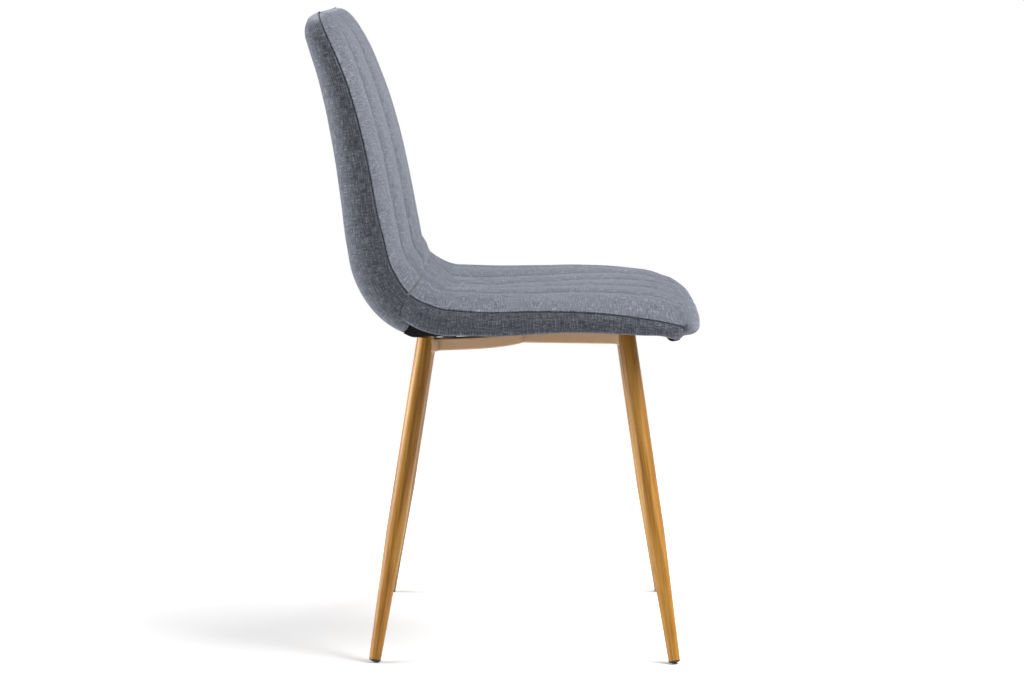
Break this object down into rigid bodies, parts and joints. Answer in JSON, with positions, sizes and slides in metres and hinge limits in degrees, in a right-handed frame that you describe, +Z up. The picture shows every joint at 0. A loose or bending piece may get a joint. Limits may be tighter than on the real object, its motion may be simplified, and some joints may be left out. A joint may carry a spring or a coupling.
{
  "type": "upholstered dining chair",
  "caption": "Armless dining chair with a fabric-covered bent shell, stitched lengthwise channels, and a welded tube frame on splayed, tapered wood-look legs.",
  "frame": {"origin": "on the floor, under the middle of the chair's bounding box", "axes": "+Z up; -Y the way the chair faces; X across, with X = 0 its plane of symmetry"},
  "size_m": [0.4334, 0.5247, 0.8701],
  "materials": {
    "heather_fabric": "woven linen look, heathered grey blue, matt",
    "dust_cloth": "black non-woven cloth, matt",
    "foam": "open cell polyurethane foam",
    "felt": "needled felt",
    "plywood": "bent beech plywood, unfinished",
    "oak_film": "golden oak grain transfer on steel tube, satin lacquer",
    "tan_paint": "tan powder coat on steel tube, matt",
    "black_plastic": "black moulded plastic",
    "zinc_steel": "zinc plated steel"
  },
  "bodies": {
    "root": {"shell_board": "plywood", "rear_padding": "felt", "dust_cover": "dust_cloth", "seat_foam": "foam", "back_foam": "foam", "seat_cover": "heather_fabric", "back_cover": "heather_fabric", "outer_back_cover": "heather_fabric", "seat_border_left": "heather_fabric", "seat_border_right": "heather_fabric", "rear_bow": "tan_paint", "front_arm_left": "tan_paint", "front_arm_right": "tan_paint", "seat_spacers": "black_plastic", "seat_bolts": "zinc_steel", "flat_washers": "zinc_steel", "spring_washers": "zinc_steel", "tee_nuts": "zinc_steel", "leg_front_left": "oak_film", "foot_front_left": "black_plastic", "leg_front_right": "oak_film", "foot_front_right": "black_plastic", "leg_rear_left": "oak_film", "foot_rear_left": "black_plastic", "leg_rear_right": "oak_film", "foot_rear_right": "black_plastic"}
  },
  "joints": []
}
